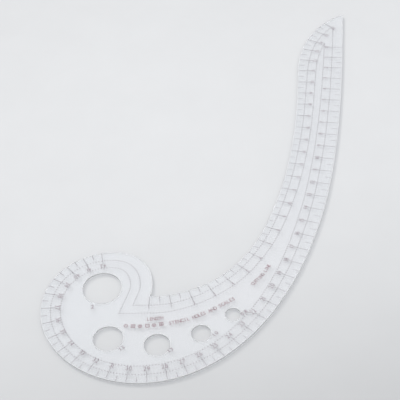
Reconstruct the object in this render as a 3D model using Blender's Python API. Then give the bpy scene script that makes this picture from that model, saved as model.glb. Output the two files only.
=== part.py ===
"""French curve: a thin clear sheet with two printed centimetre scales and five round stencil holes.

The sheet lies flat with its underside on the XY plane, its blade along +Y and its printed face up. Each
long edge is one smooth chain whose curvature changes evenly between a few stations, and the ink follows
the edges, so a tick stands at every centimetre of edge length. Lengths here are in metres.
"""

import math

import bpy

# Sheet
THICKNESS = 0.0015
HEAD_STEP = 0.0022  # spacing of outline points round the head
BLADE_STEP = 0.0040  # spacing of outline points along the blade
HEAD_FROM = 0.240  # distance down the outer edge where the head's tighter bends begin
TIP_BLEND = 0.0026  # how far the tip's rounding reaches along each edge
NOTCH_BLEND = 0.0008  # the same at the notch

# Edge chains: (distance along the edge, radius there). The curvature, 1 / radius, runs evenly between
# stations. A positive radius bends to the left of the direction of travel, and inf is straight.
# The outer edge runs from the tip, down the blade and round the head to the notch, and its scale's 0 is
# at distance 0. The inner edge runs back from the notch, where its scale's 0 is, to the tip.
OUTER_START, OUTER_END = -0.034, 0.469
OUTER_STATIONS = (
    (-0.032, math.inf),
    (0.080, -0.850),
    (0.160, -0.290),
    (0.200, -0.190),
    (0.240, -0.100),
    (0.280, -0.059),
    (0.340, -0.052),
    (0.370, -0.040),
    (0.395, -0.032),
    (0.420, -0.037),
    (0.440, -0.018),
    (0.455, -0.028),
    (0.469, -0.024),
)
INNER_END = 0.277
INNER_STATIONS = (
    (0.000, 0.053),
    (0.050, 0.065),
    (0.090, 0.260),
    (0.140, 0.350),
    (0.205, 1.250),
    (0.215, -0.095),
    (0.277, -0.046),
)
OUTER_HEADING = math.radians(-58.9)  # direction of travel at the outer scale's 0
INNER_HEADING = math.radians(35.0)  # direction of travel as the inner edge leaves the notch
CHAIN_STEP = 0.00025  # integration step along a chain

# Round holes to draw circles with: (diameter, centre measured from the outer scale's 0)
HOLES = (
    (0.0200, (0.0005, -0.2323)),
    (0.0150, (0.0236, -0.2552)),
    (0.0130, (0.0458, -0.2445)),
    (0.0100, (0.0593, -0.2268)),
    (0.0080, (0.0654, -0.2086)),
)
HOLE_SEGMENTS = 56

# Ink, printed on the upper face
INK_THICKNESS = 0.0001
INK_GAP = 0.00005  # between the sheet's face and the ink film
GUIDE_DEPTHS = (0.005, 0.010)  # the two guide lines, measured in from the edge
LINE_WIDTH = 0.0003
GUIDE_STEP = 0.005
TICK_SPACING = 0.010
TICK_START = 0.0005  # depth at which a tick begins
OUTER_TICKS, INNER_TICKS = 42, 26
JOIN_GAP = 0.0006  # between the two scales where their guide lines meet

# How deep the ticks reach at stations along each edge, as (distance, depth), evenly between them
OUTER_TICK_ENDS = ((0.150, 0.0083), (0.240, 0.0063), (0.300, 0.0066), (0.420, 0.0076))
INNER_TICK_ENDS = (
    (0.020, 0.0079),
    (0.050, 0.0068),
    (0.120, 0.0066),
    (0.180, 0.0070),
    (0.222, 0.0090),
    (0.252, 0.0078),
    (0.262, 0.0068),
)

# Near the tip the inner scale's ticks are printed a little further on, as (distance, extra distance)
INNER_SLIP = ((0.200, 0.0), (0.230, 0.0020), (0.260, 0.0016))

# The guide lines are printed as one loop that sits a little off the sheet. Its extra depth is given at
# stations along each edge, as (distance, extra depth), and changes evenly between them.
OUTER_DRIFT = (
    (-0.034, 0.0010),
    (0.110, 0.0021),
    (0.160, 0.0017),
    (0.210, 0.0000),
    (0.250, -0.0006),
    (0.290, -0.0003),
    (0.325, -0.0010),
    (0.370, 0.0001),
    (0.415, 0.0004),
    (0.450, 0.0012),
)
INNER_DRIFT = (
    (0.010, 0.0007),
    (0.030, -0.0005),
    (0.060, -0.0015),
    (0.140, -0.0011),
    (0.190, -0.0001),
    (0.220, 0.0012),
)

# Printed wording, each line as one plain strip: (name, height, its middle line in reading order),
# measured from the outer scale's 0
CAPTIONS = (
    ("caption_print", 0.0016, ((0.0320, -0.2352), (0.0352, -0.2326), (0.0382, -0.2298))),
    (
        "symbol_row_print",
        0.0022,
        ((0.0252, -0.2450), (0.0320, -0.2405), (0.0373, -0.2361), (0.0401, -0.2329)),
    ),
    (
        "title_print",
        0.0020,
        ((0.0426, -0.2311), (0.0482, -0.2244), (0.0522, -0.2181), (0.0556, -0.2113), (0.0602, -0.1999)),
    ),
    ("note_print", 0.0018, ((0.0624, -0.1878), (0.0631, -0.1809), (0.0623, -0.1718))),
)

CLEAR = ("clear_sheet", (0.86, 0.90, 0.94, 1.0), 0.06, 0.35)  # name, colour, roughness, alpha
INK = ("print_ink", (0.055, 0.018, 0.030, 1.0), 0.55, 1.0)


def clear_scene():
    for obj in list(bpy.data.objects):
        bpy.data.objects.remove(obj, do_unlink=True)


def material(name, colour, roughness, alpha):
    made = bpy.data.materials.new(name)
    made.use_nodes = True
    shader = made.node_tree.nodes["Principled BSDF"]
    shader.inputs["Base Color"].default_value = colour
    shader.inputs["Roughness"].default_value = roughness
    shader.inputs["Metallic"].default_value = 0.0
    shader.inputs["Alpha"].default_value = alpha
    return made


def evenly(stations, distance):
    """The value at this distance, which changes evenly between stations and is constant past them."""
    if distance <= stations[0][0]:
        return stations[0][1]
    for (start, first), (end, last) in zip(stations, stations[1:]):
        if distance <= end:
            return first + (last - first) * (distance - start) / (end - start)
    return stations[-1][1]


def walk(radii, start, end, place, heading):
    """Points (distance, x, y, heading) along a chain from start to end, which may run backwards."""
    curvatures = [(distance, 1 / radius) for distance, radius in radii]
    count = round(abs(end - start) / CHAIN_STEP)
    step = (end - start) / count
    x, y = place
    points = [(start, x, y, heading)]
    for i in range(count):
        distance = start + i * step
        turn = evenly(curvatures, distance + step / 2) * step
        x += math.cos(heading + turn / 2) * step
        y += math.sin(heading + turn / 2) * step
        heading += turn
        points.append((distance + step, x, y, heading))
    return points


class Edge:
    """One long edge of the sheet, as closely spaced points (distance, x, y, heading)."""

    def __init__(self, points, drift, slip=((0.0, 0.0),)):
        self.points = points
        self.drift = drift
        self.slip = slip

    def at(self, distance, depth=0.0):
        """The place this far along and this deep inside the edge. Past an end the edge runs on straight."""
        index = round((distance - self.points[0][0]) / CHAIN_STEP)
        found, x, y, heading = self.points[min(max(index, 0), len(self.points) - 1)]
        beyond = distance - found
        x += math.cos(heading) * beyond + math.sin(heading) * depth
        y += math.sin(heading) * beyond - math.cos(heading) * depth
        return x, y

    def guide(self, distance, depth):
        """The place of a guide line of this nominal depth."""
        return self.at(distance, depth + evenly(self.drift, distance))

    def mark(self, number):
        """The distance at which the scale's tick of this number is printed."""
        nominal = number * TICK_SPACING
        return nominal + evenly(self.slip, nominal)


def make_edges():
    """The outer and the inner edge. What the inner one misses the tip by is spread evenly along it."""
    to_tip = walk(OUTER_STATIONS, 0.0, OUTER_START, (0.0, 0.0), OUTER_HEADING)
    to_notch = walk(OUTER_STATIONS, 0.0, OUTER_END, (0.0, 0.0), OUTER_HEADING)
    outer = to_tip[::-1] + to_notch[1:]
    inner = walk(INNER_STATIONS, 0.0, INNER_END, outer[-1][1:3], INNER_HEADING)
    miss = outer[0][1] - inner[-1][1], outer[0][2] - inner[-1][2]
    closed = []
    for distance, x, y, heading in inner:
        share = distance / INNER_END
        closed.append((distance, x + miss[0] * share, y + miss[1] * share, heading))
    return Edge(outer, OUTER_DRIFT), Edge(closed, INNER_DRIFT, INNER_SLIP)


def spaced(start, end, step):
    """Distances from start to end, close to this far apart."""
    count = max(1, round((end - start) / step))
    return [start + (end - start) * i / count for i in range(count + 1)]


def blend(start, corner, end, count=5):
    """The inner points of a rounded corner, as one quadratic curve."""
    rounded = []
    for i in range(1, count):
        t = i / count
        weights = (1 - t) ** 2, 2 * t * (1 - t), t**2
        rounded.append(tuple(sum(w * p[k] for w, p in zip(weights, (start, corner, end))) for k in (0, 1)))
    return rounded


def sheet_outline(outer, inner):
    down = spaced(OUTER_START + TIP_BLEND, HEAD_FROM, BLADE_STEP)
    down += spaced(HEAD_FROM, OUTER_END - NOTCH_BLEND, HEAD_STEP)[1:]
    back = spaced(NOTCH_BLEND, INNER_END - TIP_BLEND, BLADE_STEP)
    side_out = [outer.at(distance) for distance in down]
    side_in = [inner.at(distance) for distance in back]
    notch = blend(side_out[-1], inner.at(0.0), side_in[0], 3)
    tip = blend(side_in[-1], outer.at(OUTER_START), side_out[0])
    return side_out + notch + side_in + tip


def circle(diameter, centre):
    x, y = centre
    turns = [2 * math.pi * i / HOLE_SEGMENTS for i in range(HOLE_SEGMENTS)]
    return [(x + diameter / 2 * math.cos(turn), y + diameter / 2 * math.sin(turn)) for turn in turns]


def crossing(a, b, c, d):
    """How far along a-b the stretch c-d crosses it, from 0 to 1, or None."""
    ab, cd, ac = [(q[0] - p[0], q[1] - p[1]) for p, q in ((a, b), (c, d), (a, c))]
    cross = ab[0] * cd[1] - ab[1] * cd[0]
    along = (ac[0] * cd[1] - ac[1] * cd[0]) / cross
    other = (ac[0] * ab[1] - ac[1] * ab[0]) / cross
    return along if 0 <= along <= 1 and 0 <= other <= 1 else None


def tip_mitre(outer, inner, depth):
    """The distances along both edges at which their lines of this depth cross near the tip."""
    reach = spaced(0.0, 6 * depth, 0.001)
    for near, far in zip(reach, reach[1:]):
        a, b = outer.guide(OUTER_START + near, depth), outer.guide(OUTER_START + far, depth)
        for start, end in zip(reach, reach[1:]):
            c, d = inner.guide(INNER_END - start, depth), inner.guide(INNER_END - end, depth)
            along, other = crossing(a, b, c, d), crossing(c, d, a, b)
            if along is not None and other is not None:
                return (
                    OUTER_START + near + along * (far - near),
                    INNER_END - start - other * (end - start),
                )
    raise ValueError("the guide lines don't meet at the tip")


def notch_mitre(outer, inner, depth):
    """How far past the notch the lines of this depth run on straight, on the outer and the inner edge, to
    meet in a corner."""
    far = 6 * depth
    a, b = outer.guide(OUTER_END, depth), outer.guide(OUTER_END + far, depth)
    c, d = inner.guide(0.0, depth), inner.guide(-far, depth)
    return crossing(a, b, c, d) * far, crossing(c, d, a, b) * far


def guide_loop(outer, inner, depth):
    """The closed line this deep inside the whole outline, with square corners at the notch and the tip."""
    out_from, in_to = tip_mitre(outer, inner, depth)
    beyond, _ = notch_mitre(outer, inner, depth)
    line = [outer.guide(distance, depth) for distance in spaced(out_from, OUTER_END, GUIDE_STEP)]
    line.append(outer.guide(OUTER_END + beyond, depth))
    line += [inner.guide(distance, depth) for distance in spaced(0.0, in_to, GUIDE_STEP)[:-1]]
    return line


def comb(edge, start, end, ticks, tick_ends):
    """A scale: the outer guide line from start to end, with a tick across it at each whole centimetre."""
    marks = [edge.mark(number) for number in range(ticks + 1)]
    stops = [d for d in spaced(start, end, GUIDE_STEP)[1:-1] if all(abs(d - m) > LINE_WIDTH for m in marks)]
    near, far = GUIDE_DEPTHS[0] - LINE_WIDTH / 2, GUIDE_DEPTHS[0] + LINE_WIDTH / 2
    outside, inside = [], []
    for distance in sorted([start, *stops, *marks, end]):
        if distance not in marks:
            outside.append(edge.guide(distance, near))
            inside.append(edge.guide(distance, far))
            continue
        first, last = distance - LINE_WIDTH / 2, distance + LINE_WIDTH / 2
        tick_end = evenly(tick_ends, distance)
        outside += [edge.guide(first, near), edge.at(first, TICK_START), edge.at(last, TICK_START)]
        outside.append(edge.guide(last, near))
        inside += [edge.guide(first, far), edge.at(first, tick_end), edge.at(last, tick_end)]
        inside.append(edge.guide(last, far))
    return outside + inside[::-1]


def strip(points, height):
    """A flat strip of this height along a line of points."""
    above, below = [], []
    for i, (x, y) in enumerate(points):
        before, after = points[max(i - 1, 0)], points[min(i + 1, len(points) - 1)]
        dx, dy = after[0] - before[0], after[1] - before[1]
        length = math.hypot(dx, dy)
        side = -dy / length * height / 2, dx / length * height / 2
        above.append((x + side[0], y + side[1]))
        below.append((x - side[0], y - side[1]))
    return above + below[::-1]


def flat_solid(name, outlines, bottom, thickness, finish, collection):
    """A flat plate from closed outlines, where an outline inside another is a hole."""
    curve = bpy.data.curves.new(name, "CURVE")
    curve.dimensions = "2D"
    curve.fill_mode = "BOTH"
    curve.extrude = thickness / 2
    for outline in outlines:
        spline = curve.splines.new("POLY")
        spline.points.add(len(outline) - 1)
        for point, (x, y) in zip(spline.points, outline):
            point.co = (x, y, 0.0, 1.0)
        spline.use_cyclic_u = True
    curve.materials.append(finish)
    obj = bpy.data.objects.new(name, curve)
    obj.location.z = bottom + thickness / 2
    collection.objects.link(obj)
    return obj


def moved(points, by):
    return [(x + by[0], y + by[1]) for x, y in points]


def build():
    clear_scene()
    collection = bpy.data.collections.new("french_curve")
    bpy.context.scene.collection.children.link(collection)
    clear, ink = material(*CLEAR), material(*INK)
    outer, inner = make_edges()

    # The origin is the middle of the sheet's box, and the scale's 0 lies at this offset from it.
    outline = sheet_outline(outer, inner)
    xs, ys = [x for x, _ in outline], [y for _, y in outline]
    offset = (-(min(xs) + max(xs)) / 2, -(min(ys) + max(ys)) / 2)
    sheet = [outline] + [circle(diameter, centre) for diameter, centre in HOLES]
    flat_solid("sheet", [moved(line, offset) for line in sheet], 0.0, THICKNESS, clear, collection)

    out_from, in_to = tip_mitre(outer, inner, GUIDE_DEPTHS[0])
    out_beyond, in_beyond = notch_mitre(outer, inner, GUIDE_DEPTHS[0])
    out_to = OUTER_END + out_beyond - JOIN_GAP
    in_from = -in_beyond + JOIN_GAP
    outer_scale = comb(outer, out_from + JOIN_GAP, out_to, OUTER_TICKS, OUTER_TICK_ENDS)
    inner_scale = comb(inner, in_from, in_to - JOIN_GAP, INNER_TICKS, INNER_TICK_ENDS)
    sides = GUIDE_DEPTHS[1] - LINE_WIDTH / 2, GUIDE_DEPTHS[1] + LINE_WIDTH / 2
    prints = [
        ("outer_scale_print", [outer_scale]),
        ("inner_scale_print", [inner_scale]),
        ("guide_line_print", [guide_loop(outer, inner, depth) for depth in sides]),
    ]
    prints += [(name, [strip(points, height)]) for name, height, points in CAPTIONS]
    for name, outlines in prints:
        placed = [moved(line, offset) for line in outlines]
        flat_solid(name, placed, THICKNESS + INK_GAP, INK_THICKNESS, ink, collection)


build()
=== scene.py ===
"""Looks for the french curve: a clear cut sheet, the ink printed on its upper face, and the studio round it.

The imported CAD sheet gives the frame. The two long edges are walked again here from the same stations, at a
finer step, because everything printed follows them. Lengths are in metres.
"""

import math

import bpy
from mathutils import Matrix, Vector
from mathutils.geometry import delaunay_2d_cdt

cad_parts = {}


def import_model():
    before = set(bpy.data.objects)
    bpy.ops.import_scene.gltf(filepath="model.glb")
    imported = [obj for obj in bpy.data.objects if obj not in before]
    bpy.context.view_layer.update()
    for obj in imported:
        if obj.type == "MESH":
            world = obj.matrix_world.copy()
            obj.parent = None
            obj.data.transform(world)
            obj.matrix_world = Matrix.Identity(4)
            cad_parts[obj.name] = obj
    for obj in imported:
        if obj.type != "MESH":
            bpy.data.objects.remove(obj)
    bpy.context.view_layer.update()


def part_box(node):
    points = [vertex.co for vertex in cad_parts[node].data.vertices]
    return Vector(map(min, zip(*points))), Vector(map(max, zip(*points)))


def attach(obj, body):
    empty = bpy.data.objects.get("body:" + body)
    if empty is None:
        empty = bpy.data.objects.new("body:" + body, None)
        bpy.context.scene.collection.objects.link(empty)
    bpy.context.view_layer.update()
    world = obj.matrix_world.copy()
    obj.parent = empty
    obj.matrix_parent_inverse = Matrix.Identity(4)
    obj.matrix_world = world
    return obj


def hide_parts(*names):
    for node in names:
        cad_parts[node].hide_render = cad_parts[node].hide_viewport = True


# Edge chains: (distance along the edge, radius there), with the curvature changing evenly between stations.
# A positive radius bends to the left of the direction of travel. The outer edge runs from the tip, down the
# blade and round the head to the notch, and the inner edge runs back from the notch to the tip.
OUTER_START, OUTER_END = -0.034, 0.469
OUTER_STATIONS = (
    (-0.032, math.inf),
    (0.080, -0.850),
    (0.160, -0.290),
    (0.200, -0.190),
    (0.240, -0.100),
    (0.280, -0.059),
    (0.340, -0.052),
    (0.370, -0.040),
    (0.395, -0.032),
    (0.420, -0.037),
    (0.440, -0.018),
    (0.455, -0.028),
    (0.469, -0.024),
)
INNER_END = 0.277
INNER_STATIONS = (
    (0.000, 0.053),
    (0.050, 0.065),
    (0.090, 0.260),
    (0.140, 0.350),
    (0.205, 1.250),
    (0.215, -0.095),
    (0.277, -0.046),
)
OUTER_HEADING = math.radians(-58.9)  # direction of travel at the outer scale's 0
INNER_HEADING = math.radians(35.0)  # direction of travel as the inner edge leaves the notch
CHAIN_STEP = 0.00025

# Sheet
HEAD_STEP = 0.0007  # spacing of outline points round the head
BLADE_STEP = 0.0014  # spacing of outline points along the blade
HEAD_FROM = 0.240  # distance down the outer edge where the head's tighter bends begin
TIP_BLEND, NOTCH_BLEND = 0.0026, 0.0008  # how far the corners' rounding reaches along each edge
TIP_STEPS, NOTCH_STEPS = 10, 6  # steps along each rounded corner
RIM_RADIUS = 0.00012  # the cut edges are softened by this much
RIM_STEPS = 3
MITRE_LIMIT = 0.4  # keeps an inset corner from running far out
HOLES = (
    # diameter, centre from the outer scale's 0, figure, its height, its middle from the 0 and its angle
    (0.0200, (0.0005, -0.2323), "2", 0.0023, (0.0044, -0.2445), 42),
    (0.0150, (0.0236, -0.2552), "1.5", 0.0020, (0.0330, -0.2557), 72),
    (0.0130, (0.0458, -0.2445), "1.3", 0.0020, (0.0532, -0.2433), 80),
    (0.0100, (0.0593, -0.2268), "1.0", 0.0020, (0.0653, -0.2231), 80),
    (0.0080, (0.0654, -0.2086), "0.8", 0.0020, (0.0694, -0.2047), 78),
)
HOLE_SEGMENTS = 96
INSIDE_CONSTRAINTS = 1  # the kind of triangulation that keeps what the loops enclose
MERGE_DISTANCE = 1e-9
SHARP_ANGLE = math.radians(35)

# Ink
INK_THICKNESS = 0.00004
INK_GAP = 0.00002  # between the sheet's face and the ink film
TICK_SPACING = 0.010
# How heavily the ticks are printed: their widths, for whole and for half centimetres, as (distance, width)
OUTER_TICK_WIDTHS = (
    ((0.140, 0.00017), (0.240, 0.00017), (0.300, 0.00020), (0.380, 0.00024)),
    ((0.140, 0.00014), (0.240, 0.00014), (0.300, 0.00024), (0.380, 0.00029)),
)
INNER_TICK_WIDTHS = (
    ((0.010, 0.00025), (0.030, 0.00020), (0.100, 0.00019), (0.160, 0.00018), (0.220, 0.00027)),
    ((0.010, 0.00026), (0.050, 0.00020), (0.100, 0.00014), (0.160, 0.00012), (0.220, 0.00021)),
)
TICK_START = 0.0002  # depth at which a tick begins
HALF_TICK_SHARE = 0.45  # how long a half centimetre's tick is, as a share of a whole one's
OUTER_LAST, INNER_LAST = 42, 26
OUTER_TICK_ENDS = ((0.150, 0.0083), (0.240, 0.0063), (0.300, 0.0066), (0.420, 0.0076))
INNER_TICK_ENDS = (
    (0.020, 0.0079),
    (0.050, 0.0068),
    (0.120, 0.0066),
    (0.180, 0.0070),
    (0.222, 0.0090),
    (0.252, 0.0078),
    (0.262, 0.0068),
)
# Near the tip the inner scale's ticks stand a little further on: (distance, extra distance)
INNER_SLIP = ((0.200, 0.0), (0.230, 0.0020), (0.260, 0.0016))
OUTER_FIGURE_GAP, INNER_FIGURE_GAP = 0.0014, 0.0008  # from a tick's end to the middle of its figure
OUTER_FIGURE_HEIGHT, INNER_FIGURE_HEIGHT = 0.0024, 0.0019
INNER_FIRST_FIGURE = 2
# Width, as a share of the built-in letters', and added weight of the strokes
FIGURE_STYLE, HOLE_FIGURE_STYLE, LETTER_STYLE = (0.92, -0.008), (1.02, 0.004), (0.86, 0.004)
LETTER_GAP = 0.16  # between two characters, as a share of their height
LETTER_SMOOTHNESS = 3  # steps along each curve of a letter
GUIDE_DEPTHS = (0.005, 0.010)
GUIDE_WIDTH = 0.00052
DOT_PITCH, DOT_LENGTH = 0.0015, 0.00046
GUIDE_STEP = 0.001  # spacing of a guide line's points
CORNER_REACH, CORNER_STEP = 6, 0.0005  # how far a line's corner is looked for, in its depths, and how finely
# The guide lines lie a little off their nominal depths: (distance, extra depth)
OUTER_DRIFT = (
    (-0.034, 0.0010),
    (0.110, 0.0021),
    (0.160, 0.0017),
    (0.210, 0.0000),
    (0.250, -0.0006),
    (0.290, -0.0003),
    (0.325, -0.0010),
    (0.370, 0.0001),
    (0.415, 0.0004),
    (0.450, 0.0012),
)
INNER_DRIFT = (
    (0.010, 0.0007),
    (0.030, -0.0005),
    (0.060, -0.0015),
    (0.140, -0.0011),
    (0.190, -0.0001),
    (0.220, 0.0012),
)

# Generic wording: (piece, CAD node, words, letter height, middle line from the outer scale's 0)
WORDING = (
    (
        "caption",
        "caption_print",
        "LENGTH",
        0.0020,
        ((0.0320, -0.2352), (0.0352, -0.2326), (0.0382, -0.2298)),
    ),
    (
        "title_line",
        "title_print",
        "STENCIL HOLES AND SCALES",
        0.0021,
        ((0.0426, -0.2311), (0.0482, -0.2244), (0.0522, -0.2181), (0.0556, -0.2113), (0.0602, -0.1999)),
    ),
    (
        "note_line",
        "note_print",
        "CUTTING LINE",
        0.0020,
        ((0.0624, -0.1878), (0.0631, -0.1809), (0.0623, -0.1718)),
    ),
)
SYMBOL_SIZE = 0.0021
SYMBOLS = (
    (0.0260, -0.2442),
    (0.0290, -0.2423),
    (0.0320, -0.2405),
    (0.0348, -0.2382),
    (0.0373, -0.2361),
    (0.0398, -0.2334),
)
# Shares of a symbol's size
SYMBOL_RADII = (0.5, 0.36)
SYMBOL_BAR_REACH, SYMBOL_BAR_WIDTH, SYMBOL_BAR_SPACING = 0.24, 0.12, 0.22
RING_SIDES, FRAME_SIDES = 24, 4

# Ink colours: each mottled between a dark and a light one
LINE_INK = ((0.235, 0.210, 0.235, 1.0), (0.315, 0.290, 0.320, 1.0))
LETTER_INK = ((0.265, 0.170, 0.195, 1.0), (0.335, 0.225, 0.250, 1.0))
FIGURE_INK = ((0.225, 0.175, 0.205, 1.0), (0.300, 0.235, 0.270, 1.0))

# Plastic: its tints, and the colours of the light that it lets through in straight lines
PLASTIC_IOR = 1.49
FACE_TINTS = ((0.954, 0.962, 0.977, 1.0), (0.975, 0.973, 0.984, 1.0))
FACE_PASSES = (0.99, 0.995, 1.0, 1.0)
WALL_TINTS = ((0.92, 0.93, 0.94, 1.0), (0.96, 0.965, 0.975, 1.0))
WALL_PASSES = (0.48, 0.49, 0.51, 1.0)
WALL_PASSES_INSIDE = (0.92, 0.93, 0.94, 1.0)

# Camera, placed from the outer scale's 0 and the sheet's upper face
CAMERA_PLACE = (0.27575, -0.47749, 0.43491)
CAMERA_HEADING = math.radians(130.0)  # which way the camera looks, seen from above
CAMERA_TILT = math.radians(44.09)  # up from straight down
CAMERA_ROLL = math.radians(-4.565)
CAMERA_LENS, CAMERA_SENSOR = 100.08, 36.0  # mm

# Floor
FLOOR_HALF = 5.0
FLOOR_GAP = 0.0002  # between the floor and the sheet
FLOOR_TINTS = ((0.605, 0.615, 0.631, 1.0), (0.620, 0.630, 0.646, 1.0))
# Painted shade on the floor: soft falloffs of light, painted into its colour so that it darkens towards the
# ends of each span. For each: the turn of the direction, the span along it and (share of the span, shade)
FLOOR_PAINTED_SHADE = (
    (
        math.radians(40.0),
        (-0.21, 0.15),
        ((0.0, 0.930), (0.21, 0.975), (0.42, 0.999), (0.60, 1.0), (0.77, 0.956), (0.89, 0.888), (1.0, 0.803)),
    ),
    (math.radians(-50.0), (-0.16, 0.13), ((0.0, 0.958), (0.40, 0.992), (0.55, 0.990), (1.0, 1.0))),
)

# The studio's soft surround: (height of a direction, from the horizon's 0 to 1 straight up; shade there)
SKY = ((0.45, 0.22), (0.60, 0.42), (0.69, 0.42), (0.80, 0.80), (1.0, 1.0))
SKY_STRENGTH = 1.72

# Lamps, aimed at the origin: (name, azimuth, elevation, distance, size, power, colour)
LAMPS = (
    ("key", math.radians(172), math.radians(38), 1.8, 0.30, 15.4, (1.0, 0.99, 0.97)),
    ("fill", math.radians(-50), math.radians(15), 4.5, 2.5, 25.0, (0.97, 0.99, 1.0)),
)


def evenly(stations, distance):
    """The value at this distance, which changes evenly between stations and is constant past them."""
    if distance <= stations[0][0]:
        return stations[0][1]
    for (start, first), (end, last) in zip(stations, stations[1:]):
        if distance <= end:
            return first + (last - first) * (distance - start) / (end - start)
    return stations[-1][1]


def walk(radii, start, end, place, heading):
    """Points (distance, x, y, heading) along a chain from start to end, which may run backwards."""
    curvatures = [(distance, 1 / radius) for distance, radius in radii]
    count = round(abs(end - start) / CHAIN_STEP)
    step = (end - start) / count
    x, y = place
    points = [(start, x, y, heading)]
    for i in range(count):
        distance = start + i * step
        turn = evenly(curvatures, distance + step / 2) * step
        x += math.cos(heading + turn / 2) * step
        y += math.sin(heading + turn / 2) * step
        heading += turn
        points.append((distance + step, x, y, heading))
    return points


class Edge:
    """One long edge of the sheet, as closely spaced points (distance, x, y, heading)."""

    def __init__(self, points, drift, slip=((0.0, 0.0),)):
        self.points = points
        self.drift = drift
        self.slip = slip

    def nearest(self, distance):
        index = round((distance - self.points[0][0]) / CHAIN_STEP)
        return self.points[min(max(index, 0), len(self.points) - 1)]

    def at(self, distance, depth=0.0):
        """The place this far along and this deep inside the edge. Past an end the edge runs on straight."""
        found, x, y, heading = self.nearest(distance)
        beyond = distance - found
        x += math.cos(heading) * beyond + math.sin(heading) * depth
        y += math.sin(heading) * beyond - math.cos(heading) * depth
        return x, y

    def guide(self, distance, depth):
        """The place of a guide line of this nominal depth."""
        return self.at(distance, depth + evenly(self.drift, distance))

    def mark(self, number):
        """The distance at which the scale's tick of this number is printed."""
        nominal = number * TICK_SPACING
        return nominal + evenly(self.slip, nominal)


def make_edges():
    """The outer and the inner edge. What the inner one misses the tip by is spread evenly along it."""
    to_tip = walk(OUTER_STATIONS, 0.0, OUTER_START, (0.0, 0.0), OUTER_HEADING)
    to_notch = walk(OUTER_STATIONS, 0.0, OUTER_END, (0.0, 0.0), OUTER_HEADING)
    outer = to_tip[::-1] + to_notch[1:]
    inner = walk(INNER_STATIONS, 0.0, INNER_END, outer[-1][1:3], INNER_HEADING)
    miss = outer[0][1] - inner[-1][1], outer[0][2] - inner[-1][2]
    closed = []
    for distance, x, y, heading in inner:
        share = distance / INNER_END
        closed.append((distance, x + miss[0] * share, y + miss[1] * share, heading))
    return Edge(outer, OUTER_DRIFT), Edge(closed, INNER_DRIFT, INNER_SLIP)


def spaced(start, end, step):
    """Distances from start to end, close to this far apart."""
    count = max(1, round((end - start) / step))
    return [start + (end - start) * i / count for i in range(count + 1)]


def blend(start, corner, end, count):
    """The inner points of a corner rounded in this many steps, as one quadratic curve."""
    rounded = []
    for i in range(1, count):
        t = i / count
        weights = (1 - t) ** 2, 2 * t * (1 - t), t**2
        rounded.append(tuple(sum(w * p[k] for w, p in zip(weights, (start, corner, end))) for k in (0, 1)))
    return rounded


def sheet_outline(outer, inner):
    down = spaced(OUTER_START + TIP_BLEND, HEAD_FROM, BLADE_STEP)
    down += spaced(HEAD_FROM, OUTER_END - NOTCH_BLEND, HEAD_STEP)[1:]
    back = spaced(NOTCH_BLEND, INNER_END - TIP_BLEND, BLADE_STEP)
    side_out = [outer.at(distance) for distance in down]
    side_in = [inner.at(distance) for distance in back]
    notch = blend(side_out[-1], inner.at(0.0), side_in[0], NOTCH_STEPS)
    tip = blend(side_in[-1], outer.at(OUTER_START), side_out[0], TIP_STEPS)
    return side_out + notch + side_in + tip


def circle(diameter, centre, segments):
    x, y = centre
    turns = [2 * math.pi * i / segments for i in range(segments)]
    return [(x + diameter / 2 * math.cos(turn), y + diameter / 2 * math.sin(turn)) for turn in turns]


# ---------------------------------------------------------------- solids


def counterclockwise(loop):
    area = sum(a[0] * b[1] - b[0] * a[1] for a, b in zip(loop, loop[1:] + loop[:1]))
    return loop if area > 0 else loop[::-1]


def inset(loop, depth):
    """The loop moved to its left by this depth, with mitred corners."""
    moved = []
    for before, here, after in zip(loop[-1:] + loop[:-1], loop, loop[1:] + loop[:1]):
        a = (Vector(here) - Vector(before)).normalized()
        b = (Vector(after) - Vector(here)).normalized()
        side = Vector((-a.y - b.y, a.x + b.x)).normalized()
        reach = depth / max(MITRE_LIMIT, side.dot(Vector((-a.y, a.x))))
        moved.append((here[0] + side.x * reach, here[1] + side.y * reach))
    return moved


def flat_triangles(loops):
    """Triangles, counterclockwise, that fill the first loop and leave the other loops open. Each is three
    places in the loops' points, counted through all the loops. The holes are convex, so a triangle with
    all its corners on one of them lies in it."""
    corners, sides, owners = [], [], []
    for number, loop in enumerate(loops):
        start = len(corners)
        corners += [Vector(point) for point in loop]
        sides += [(start + i, start + (i + 1) % len(loop)) for i in range(len(loop))]
        owners += [number] * len(loop)
    filled = delaunay_2d_cdt(corners, sides, [], INSIDE_CONSTRAINTS, MERGE_DISTANCE)
    origins = [sources[0] for sources in filled[3]]
    triangles = []
    for face in filled[2]:
        a, b, c = (origins[i] for i in face)
        if owners[a] == owners[b] == owners[c] > 0:
            continue
        up = (corners[b] - corners[a]).cross(corners[c] - corners[a]) > 0
        triangles.append((a, b, c) if up else (c, b, a))
    return triangles


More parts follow.
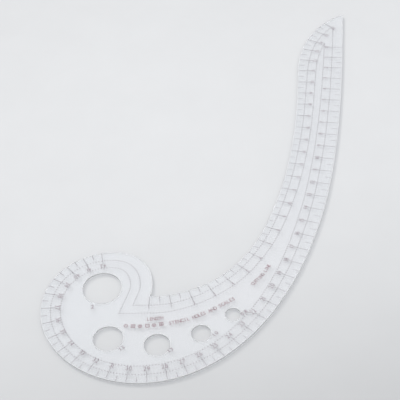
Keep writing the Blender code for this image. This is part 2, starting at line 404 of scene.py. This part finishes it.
class Builder:
    """Gathers closed flat solids into one mesh. Slot 0 takes their flat faces and slot 1 their walls."""

    def __init__(self):
        self.points, self.faces, self.slots = [], [], []

    def add(self, loops, profile):
        """One solid. The first loop is its outline, the others are holes, and profile lists (inset, z) from
        the bottom to the top."""
        loops = [counterclockwise(loops[0])] + [counterclockwise(loop)[::-1] for loop in loops[1:]]
        first = len(self.points)
        size = sum(len(loop) for loop in loops)
        for depth, z in profile:
            for loop in loops:
                self.points += [(x, y, z) for x, y in (inset(loop, depth) if depth else loop)]
        start = first
        for loop in loops:
            count = len(loop)
            for level in range(len(profile) - 1):
                low = start + level * size
                for i in range(count):
                    j = (i + 1) % count
                    self.put((low + i, low + j, low + j + size, low + i + size), 1)
            start += count
        top = first + (len(profile) - 1) * size
        for up in flat_triangles(loops):
            self.put([top + i for i in up], 0)
            self.put([first + i for i in reversed(up)], 0)

    def put(self, face, slot):
        self.faces.append(tuple(face))
        self.slots.append(slot)

    def add_mesh(self, mesh, place):
        """A ready closed mesh, put in place by a matrix."""
        first = len(self.points)
        self.points += [tuple(place @ vertex.co) for vertex in mesh.vertices]
        for polygon in mesh.polygons:
            self.put([first + i for i in polygon.vertices], 0)

    def piece(self, name, materials, cad_slot, *nodes):
        mesh = bpy.data.meshes.new(name)
        mesh.from_pydata(self.points, [], self.faces)
        mesh.polygons.foreach_set("material_index", [min(s, len(materials) - 1) for s in self.slots])
        for material in materials:
            mesh.materials.append(material)
        mesh.set_sharp_from_angle(angle=SHARP_ANGLE)
        mesh.polygons.foreach_set("use_smooth", [slot == 1 for slot in self.slots])
        mesh.update()
        obj = bpy.data.objects.new(name, mesh)
        bpy.context.scene.collection.objects.link(obj)
        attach(obj, "root")
        if nodes:
            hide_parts(*nodes)
        return obj


def rim_profile(bottom, top):
    """A wall with both its corners rounded."""
    rises = [math.pi / 2 * i / RIM_STEPS for i in range(RIM_STEPS + 1)]
    low = [(RIM_RADIUS * (1 - math.sin(r)), bottom + RIM_RADIUS * (1 - math.cos(r))) for r in rises]
    return low + [(depth, bottom + top - z) for depth, z in reversed(low)]


# ---------------------------------------------------------------- ink shapes


def bar(start, end, width):
    """The four corners of a straight bar."""
    along = (Vector(end) - Vector(start)).normalized() * width / 2
    side = Vector((-along.y, along.x))
    return [tuple(Vector(p) + s) for p, s in ((start, -side), (end, -side), (end, side), (start, side))]


class Glyphs:
    """Closed meshes of single characters, made narrower or wider, with a figure one unit high."""

    def __init__(self, depth, width, weight):
        self.depth = depth
        self.width = width  # a letter's width, as a share of the built-in one's
        self.weight = weight  # how much each stroke is thickened, as a share of the height
        self.made = {}
        figure = self.raw("0", 1.0)
        heights = [vertex.co.y for vertex in figure.vertices]
        self.size = 1 / (max(heights) - min(heights))
        self.middle = (max(heights) + min(heights)) / 2 * self.size

    def raw(self, character, size):
        curve = bpy.data.curves.new("letter", "FONT")
        curve.body = character
        curve.size = size
        curve.align_x = "CENTER"
        curve.resolution_u = LETTER_SMOOTHNESS
        curve.offset = self.weight * size
        curve.extrude = self.depth
        holder = bpy.data.objects.new("letter", curve)
        mesh = bpy.data.meshes.new_from_object(holder)
        bpy.data.objects.remove(holder)
        bpy.data.curves.remove(curve)
        return mesh

    def character(self, character):
        """The mesh with its baseline centred on the origin, and its width."""
        if character not in self.made:
            mesh = self.raw(character, self.size)
            mesh.transform(Matrix.Translation((0.0, -self.middle, 0.0)))
            mesh.transform(Matrix.Diagonal((self.width, 1.0, 1.0, 1.0)))
            spread = [vertex.co.x for vertex in mesh.vertices] or [0.0]
            shift = (max(spread) + min(spread)) / 2
            mesh.transform(Matrix.Translation((-shift, 0.0, 0.0)))
            self.made[character] = mesh, max(spread) - min(spread)
        return self.made[character]


def write(builder, glyphs, words, height, middle, angle, z):
    """A line of characters round its middle point, at this angle."""
    widths = [glyphs.character(c)[1] + LETTER_GAP for c in words]
    along = -(sum(widths) - LETTER_GAP) / 2
    turn = Matrix.Rotation(angle, 4, "Z")
    scale = Matrix.Diagonal((height, height, 1.0, 1.0))
    for character, width in zip(words, widths):
        mesh, own = glyphs.character(character)
        shift = Matrix.Translation((along + own / 2, 0.0, 0.0))
        builder.add_mesh(mesh, Matrix.Translation((*middle, z)) @ turn @ scale @ shift)
        along += width


def along_path(path, share):
    """The place and the angle at this share of a path's length, on a smooth line through its points."""
    lengths = [math.dist(a, b) for a, b in zip(path, path[1:])]
    left = share * sum(lengths)
    index = 0
    while index < len(lengths) - 1 and left > lengths[index]:
        left -= lengths[index]
        index += 1
    t = left / lengths[index]
    a, b = Vector(path[index]), Vector(path[index + 1])
    before = Vector(path[index - 1]) if index else a * 2 - b
    after = Vector(path[index + 2]) if index + 2 < len(path) else b * 2 - a
    m, n = (b - before) / 2, (after - a) / 2
    place = (2 * t**3 - 3 * t**2 + 1) * a + (t**3 - 2 * t**2 + t) * m
    place += (3 * t**2 - 2 * t**3) * b + (t**3 - t**2) * n
    slope = (6 * t**2 - 6 * t) * (a - b) + (3 * t**2 - 4 * t + 1) * m + (3 * t**2 - 2 * t) * n
    return tuple(place), math.atan2(slope.y, slope.x)


def write_along(builder, glyphs, words, height, path, z):
    """Characters spread evenly from one end of a path to the other."""
    for i, character in enumerate(words):
        if character != " ":
            place, angle = along_path(path, (i + 0.5) / len(words))
            write(builder, glyphs, character, height, place, angle, z)


# ---------------------------------------------------------------- materials


def grey(shade):
    return shade, shade, shade, 1.0


class Nodes:
    """A new node material, with short calls to add and join its nodes."""

    def __init__(self, name):
        self.material = bpy.data.materials.new(name)
        self.material.use_nodes = True
        self.tree = self.material.node_tree
        self.shader = self.tree.nodes["Principled BSDF"]
        self.output = self.tree.nodes["Material Output"]

    def add(self, kind, **settings):
        node = self.tree.nodes.new(kind)
        for key, value in settings.items():
            setattr(node, key, value)
        return node

    def link(self, source, target):
        self.tree.links.new(source, target)

    def placed(self, scale=(1.0, 1.0, 1.0), turn=0.0):
        """Object coordinates, scaled and turned in the plane."""
        where = self.add("ShaderNodeTexCoord")
        mapping = self.add("ShaderNodeMapping")
        mapping.inputs["Scale"].default_value = scale
        mapping.inputs["Rotation"].default_value = (0.0, 0.0, turn)
        self.link(where.outputs["Object"], mapping.inputs["Vector"])
        return mapping.outputs["Vector"]

    def noise(self, scale, detail=3.0, roughness=0.5, stretch=(1.0, 1.0, 1.0), turn=0.0):
        node = self.add("ShaderNodeTexNoise")
        node.inputs["Scale"].default_value = scale
        node.inputs["Detail"].default_value = detail
        node.inputs["Roughness"].default_value = roughness
        self.link(self.placed(stretch, turn), node.inputs["Vector"])
        return node.outputs["Fac"]

    def ramp(self, value, stops):
        node = self.add("ShaderNodeValToRGB")
        elements = node.color_ramp.elements
        for element, (position, colour) in zip(elements, (stops[0], stops[-1])):
            element.position, element.color = position, colour
        for position, colour in stops[1:-1]:
            elements.new(position).color = colour
        self.link(value, node.inputs["Fac"])
        return node.outputs["Color"]

    def mottled(self, value, colours):
        """One colour where the value is low, the other where it is high, and a blend of them between."""
        return self.ramp(value, ((0.3, colours[0]), (0.7, colours[1])))

    def span(self, value, low, high, to_low, to_high):
        node = self.add("ShaderNodeMapRange")
        for key, number in zip(("From Min", "From Max", "To Min", "To Max"), (low, high, to_low, to_high)):
            node.inputs[key].default_value = number
        self.link(value, node.inputs["Value"])
        return node.outputs["Result"]

    def bump(self, height, distance, strength=1.0, onto=None):
        node = self.add("ShaderNodeBump")
        node.inputs["Strength"].default_value = strength
        node.inputs["Distance"].default_value = distance
        self.link(height, node.inputs["Height"])
        if onto:
            self.link(onto, node.inputs["Normal"])
        return node.outputs["Normal"]

    def set(self, **values):
        for key, value in values.items():
            self.shader.inputs[key.replace("_", " ")].default_value = value

    def light_passes(self, colour, inner=None):
        """Lets light from lamps and from the floor through in straight lines, so that what lies under clear
        plastic is lit once, and not again through its bent rays. The inner colour is for light that comes in
        through this face and goes on down. Light that would have to leave through a wall is trapped."""
        path = self.add("ShaderNodeLightPath")
        through = self.add("ShaderNodeBsdfTransparent")
        through.inputs["Color"].default_value = colour
        if inner:
            side = self.add("ShaderNodeNewGeometry")
            sided = self.ramp(side.outputs["Backfacing"], ((0.0, colour), (1.0, inner)))
            self.link(sided, through.inputs["Color"])
        shader = self.shader.outputs["BSDF"]
        for kind in ("Is Shadow Ray", "Is Diffuse Ray"):
            mix = self.add("ShaderNodeMixShader")
            self.link(path.outputs[kind], mix.inputs["Fac"])
            self.link(shader, mix.inputs[1])
            self.link(through.outputs["BSDF"], mix.inputs[2])
            shader = mix.outputs["Shader"]
        self.link(shader, self.output.inputs["Surface"])


def clear_face_material():
    m = Nodes("clear_face")
    m.set(Metallic=0.0, IOR=PLASTIC_IOR, Transmission_Weight=0.97)
    tint = m.noise(9.0, 2.0)
    m.link(m.mottled(tint, FACE_TINTS), m.shader.inputs["Base Color"])
    scratches = m.noise(260.0, 4.0, 0.6, (1.0, 26.0, 1.0), 0.5)
    crossed = m.noise(210.0, 4.0, 0.6, (22.0, 1.0, 1.0), -0.35)
    most = m.add("ShaderNodeMath", operation="MAXIMUM")
    m.link(scratches, most.inputs[0])
    m.link(crossed, most.inputs[1])
    m.link(m.span(most.outputs["Value"], 0.55, 0.8, 0.03, 0.14), m.shader.inputs["Roughness"])
    waves = m.bump(m.noise(14.0, 1.0), 0.0004, 0.4)
    fine = m.bump(m.span(most.outputs["Value"], 0.62, 0.8, 0.0, 1.0), 0.000008, 0.5, waves)
    m.link(fine, m.shader.inputs["Normal"])
    m.light_passes(FACE_PASSES)
    return m.material


def clear_wall_material():
    m = Nodes("clear_wall")
    m.set(Metallic=0.0, IOR=PLASTIC_IOR, Transmission_Weight=0.4)
    marks = m.noise(420.0, 3.0, 0.55, (1.0, 1.0, 0.12))
    m.link(m.mottled(marks, WALL_TINTS), m.shader.inputs["Base Color"])
    m.link(m.span(marks, 0.3, 0.7, 0.30, 0.50), m.shader.inputs["Roughness"])
    m.link(m.bump(marks, 0.00003, 0.6), m.shader.inputs["Normal"])
    m.light_passes(WALL_PASSES, WALL_PASSES_INSIDE)
    return m.material


def ink_material(name, colours):
    m = Nodes(name)
    m.set(Metallic=0.0)
    mottle = m.noise(900.0, 4.0, 0.6)
    m.link(m.mottled(mottle, colours), m.shader.inputs["Base Color"])
    m.link(m.span(mottle, 0.3, 0.7, 0.38, 0.62), m.shader.inputs["Roughness"])
    m.link(m.bump(m.noise(3200.0, 2.0), 0.00001, 0.6), m.shader.inputs["Normal"])
    return m.material


def floor_material():
    m = Nodes("pale_floor")
    m.set(Metallic=0.0, Roughness=0.85, Specular_IOR_Level=0.15)
    grain = m.noise(30.0, 6.0, 0.6)
    pale = m.mottled(grain, FLOOR_TINTS)
    # painted shade: each falloff multiplies the floor's colour darker along its direction
    for turn, span, shades in FLOOR_PAINTED_SHADE:
        split = m.add("ShaderNodeSeparateXYZ")
        m.link(m.placed(turn=turn), split.inputs["Vector"])
        greys = [(position, grey(shade)) for position, shade in shades]
        mix = m.add("ShaderNodeMix", data_type="RGBA", blend_type="MULTIPLY")
        mix.inputs["Factor"].default_value = 1.0
        colours = [socket for socket in mix.inputs if socket.type == "RGBA"]
        m.link(pale, colours[0])
        m.link(m.ramp(m.span(split.outputs["X"], *span, 0.0, 1.0), greys), colours[1])
        pale = next(socket for socket in mix.outputs if socket.type == "RGBA")
    m.link(pale, m.shader.inputs["Base Color"])
    return m.material


# ---------------------------------------------------------------- pieces


def build_sheet(outer, inner, put, low, high):
    loops = [sheet_outline(outer, inner)]
    loops += [circle(diameter, centre, HOLE_SEGMENTS) for diameter, centre, *_ in HOLES]
    sheet = Builder()
    sheet.add([[put(p) for p in loop] for loop in loops], rim_profile(low, high))
    sheet.piece("clear_sheet", [clear_face_material(), clear_wall_material()], "clear_sheet", "sheet")


def build_ticks(name, edge, last, ends, widths, put, film, ink, node):
    """The centimetre ticks of one edge, and shorter ones half way between them."""
    ticks = Builder()
    for half in range(2 * last + 1):
        distance = edge.mark(half / 2)
        end = evenly(ends, distance) * (HALF_TICK_SHARE if half % 2 else 1.0)
        width = evenly(widths[half % 2], distance)
        ticks.add([bar(put(edge.at(distance, TICK_START)), put(edge.at(distance, end)), width)], film)
    ticks.piece(name, [ink], "print_ink", node)


def build_figures(name, edge, numbers, ends, gap, height, flip, put, glyphs, z, ink):
    """The figures at the ends of one edge's ticks."""
    figures = Builder()
    for number in numbers:
        distance = edge.mark(number)
        place = put(edge.at(distance, evenly(ends, distance) + gap))
        angle = edge.nearest(distance)[3] + (0.0 if flip else math.pi)
        write(figures, glyphs, str(number), height, place, angle, z)
    figures.piece(name, [ink], "print_ink")


def guide_path(outer, inner, depth):
    """The closed guide line of this depth, as closely spaced points. It turns where the lines along the two
    edges come closest to each other: short of the tip, and past the notch."""
    reach = spaced(0.0, CORNER_REACH * depth, CORNER_STEP)
    _, out_short, in_short = min(
        (math.dist(outer.guide(OUTER_START + a, depth), inner.guide(INNER_END - b, depth)), a, b)
        for a in reach
        for b in reach
    )
    _, out_past, in_past = min(
        (math.dist(outer.guide(OUTER_END + a, depth), inner.guide(-b, depth)), a, b)
        for a in reach
        for b in reach
    )
    down = spaced(OUTER_START + out_short, OUTER_END + out_past, GUIDE_STEP)
    back = spaced(-in_past, INNER_END - in_short, GUIDE_STEP)
    return [outer.guide(d, depth) for d in down] + [inner.guide(d, depth) for d in back]


def build_guide(name, outer, inner, depth, put, film, ink, *nodes):
    """One dotted guide line."""
    line = [put(p) for p in guide_path(outer, inner, depth)]
    dots = Builder()
    due, walked = 0.0, 0.0
    for a, b in zip(line, line[1:]):
        length = math.dist(a, b)
        while length > 0 and due <= walked + length:
            share = (due - walked) / length
            middle = Vector(a).lerp(Vector(b), share)
            half = (Vector(b) - Vector(a)).normalized() * DOT_LENGTH / 2
            dots.add([bar(middle - half, middle + half, GUIDE_WIDTH)], film)
            due += DOT_PITCH
        walked += length
    dots.piece(name, [ink], "print_ink", *nodes)


def build_symbols(put, film, ink):
    """Six plain marks: a ring or a frame, each with bars across it."""
    marks = Builder()
    for i, place in enumerate(SYMBOLS):
        before, after = SYMBOLS[max(i - 1, 0)], SYMBOLS[min(i + 1, len(SYMBOLS) - 1)]
        turn = math.atan2(after[1] - before[1], after[0] - before[0])
        frame = Matrix.Translation((*put(place), 0.0)) @ Matrix.Rotation(turn, 4, "Z")

        def spot(x, y, frame=frame):
            return tuple((frame @ Vector((x * SYMBOL_SIZE, y * SYMBOL_SIZE, 0.0))).xy)

        sides = FRAME_SIDES if i % 2 else RING_SIDES
        rings = []
        for radius in SYMBOL_RADII:
            reach = radius * (math.sqrt(2) if sides == FRAME_SIDES else 1.0)
            turns = [2 * math.pi * (k + 0.5) / sides for k in range(sides)]
            rings.append([spot(reach * math.cos(t), reach * math.sin(t)) for t in turns])
        marks.add(rings, film)
        for row in range(1 + i % 3):
            height = (row - (i % 3) / 2) * SYMBOL_BAR_SPACING
            start, end = spot(-SYMBOL_BAR_REACH, height), spot(SYMBOL_BAR_REACH, height)
            marks.add([bar(start, end, SYMBOL_BAR_WIDTH * SYMBOL_SIZE)], film)
    marks.piece("symbol_row", [ink], "print_ink", "symbol_row_print")


def build_print(outer, inner, put, face):
    line_ink = ink_material("line_ink", LINE_INK)
    letter_ink = ink_material("letter_ink", LETTER_INK)
    figure_ink = ink_material("figure_ink", FIGURE_INK)
    bottom = face + INK_GAP
    film = ((0.0, bottom), (0.0, bottom + INK_THICKNESS))
    middle = bottom + INK_THICKNESS / 2
    letters = Glyphs(INK_THICKNESS / 2, *LETTER_STYLE)
    digits = Glyphs(INK_THICKNESS / 2, *FIGURE_STYLE)
    hole_digits = Glyphs(INK_THICKNESS / 2, *HOLE_FIGURE_STYLE)
    build_ticks(
        "outer_scale_ticks",
        outer,
        OUTER_LAST,
        OUTER_TICK_ENDS,
        OUTER_TICK_WIDTHS,
        put,
        film,
        line_ink,
        "outer_scale_print",
    )
    build_ticks(
        "inner_scale_ticks",
        inner,
        INNER_LAST,
        INNER_TICK_ENDS,
        INNER_TICK_WIDTHS,
        put,
        film,
        line_ink,
        "inner_scale_print",
    )
    build_figures(
        "outer_scale_figures",
        outer,
        range(OUTER_LAST + 1),
        OUTER_TICK_ENDS,
        OUTER_FIGURE_GAP,
        OUTER_FIGURE_HEIGHT,
        False,
        put,
        digits,
        middle,
        figure_ink,
    )
    build_figures(
        "inner_scale_figures",
        inner,
        range(INNER_FIRST_FIGURE, INNER_LAST + 1),
        INNER_TICK_ENDS,
        INNER_FIGURE_GAP,
        INNER_FIGURE_HEIGHT,
        True,
        put,
        digits,
        middle,
        figure_ink,
    )
    build_guide("guide_line_5mm", outer, inner, GUIDE_DEPTHS[0], put, film, line_ink)
    build_guide("guide_line_10mm", outer, inner, GUIDE_DEPTHS[1], put, film, line_ink, "guide_line_print")
    build_symbols(put, film, letter_ink)
    labels = Builder()
    for _, _, words, height, place, angle in HOLES:
        write(labels, hole_digits, words, height, put(place), math.radians(angle), middle)
    labels.piece("hole_figures", [figure_ink], "print_ink")
    for name, node, words, height, path in WORDING:
        line = Builder()
        write_along(line, letters, words, height, [put(p) for p in path], middle)
        line.piece(name, [letter_ink], "print_ink", node)


# ---------------------------------------------------------------- studio


def build_floor(level):
    mesh = bpy.data.meshes.new("floor")
    signs = ((-1, -1), (1, -1), (1, 1), (-1, 1))
    mesh.from_pydata([(x * FLOOR_HALF, y * FLOOR_HALF, level) for x, y in signs], [], [(0, 1, 2, 3)])
    mesh.materials.append(floor_material())
    floor = bpy.data.objects.new("floor", mesh)
    bpy.context.scene.collection.objects.link(floor)


def build_world():
    world = bpy.data.worlds.new("studio")
    world.use_nodes = True
    tree = world.node_tree
    where = tree.nodes.new("ShaderNodeTexCoord")
    split = tree.nodes.new("ShaderNodeSeparateXYZ")
    ramp = tree.nodes.new("ShaderNodeValToRGB")
    tree.links.new(where.outputs["Generated"], split.inputs["Vector"])
    tree.links.new(split.outputs["Z"], ramp.inputs["Fac"])
    tree.links.new(ramp.outputs["Color"], tree.nodes["Background"].inputs["Color"])
    elements = ramp.color_ramp.elements
    for element, (height, shade) in zip(elements, (SKY[0], SKY[-1])):
        element.position, element.color = height, grey(shade)
    for height, shade in SKY[1:-1]:
        elements.new(height).color = grey(shade)
    tree.nodes["Background"].inputs["Strength"].default_value = SKY_STRENGTH
    bpy.context.scene.world = world


def build_light(name, azimuth, elevation, distance, size, power, colour):
    lamp = bpy.data.lights.new(name, "AREA")
    lamp.shape = "DISK"
    lamp.size = size
    lamp.energy = power
    lamp.color = colour
    obj = bpy.data.objects.new(name, lamp)
    flat = math.cos(elevation)
    away = Vector((flat * math.cos(azimuth), flat * math.sin(azimuth), math.sin(elevation)))
    obj.location = away * distance
    obj.rotation_euler = away.to_track_quat("Z", "Y").to_euler()
    obj.visible_glossy = obj.visible_transmission = False
    bpy.context.scene.collection.objects.link(obj)


def build_camera(put, face):
    """Looks along its heading, tilted up from straight down, and rolled about its own line of sight."""
    ahead = Vector((math.cos(CAMERA_HEADING), math.sin(CAMERA_HEADING), 0.0))
    across = Vector((ahead.y, -ahead.x, 0.0))
    up = Vector((0.0, 0.0, 1.0))
    back = up * math.cos(CAMERA_TILT) - ahead * math.sin(CAMERA_TILT)
    rise = ahead * math.cos(CAMERA_TILT) + up * math.sin(CAMERA_TILT)
    right = across * math.cos(CAMERA_ROLL) + rise * math.sin(CAMERA_ROLL)
    top = rise * math.cos(CAMERA_ROLL) - across * math.sin(CAMERA_ROLL)
    data = bpy.data.cameras.new("camera")
    data.lens, data.sensor_width = CAMERA_LENS, CAMERA_SENSOR
    camera = bpy.data.objects.new("camera", data)
    place = Vector((*put(CAMERA_PLACE[:2]), face + CAMERA_PLACE[2]))
    camera.matrix_world = Matrix.Translation(place) @ Matrix((right, top, back)).transposed().to_4x4()
    bpy.context.scene.collection.objects.link(camera)
    bpy.context.scene.camera = camera


def main():
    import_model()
    outer, inner = make_edges()
    low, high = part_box("sheet")
    outline = sheet_outline(outer, inner)
    xs, ys = [x for x, _ in outline], [y for _, y in outline]
    shift = (
        (low.x + high.x) / 2 - (min(xs) + max(xs)) / 2,
        (low.y + high.y) / 2 - (min(ys) + max(ys)) / 2,
    )

    def put(point):
        return point[0] + shift[0], point[1] + shift[1]

    build_sheet(outer, inner, put, low.z, high.z)
    build_print(outer, inner, put, high.z)
    build_floor(low.z - FLOOR_GAP)
    build_world()
    for lamp in LAMPS:
        build_light(*lamp)
    build_camera(put, high.z)
    bpy.context.scene.view_settings.view_transform = "Standard"


main()
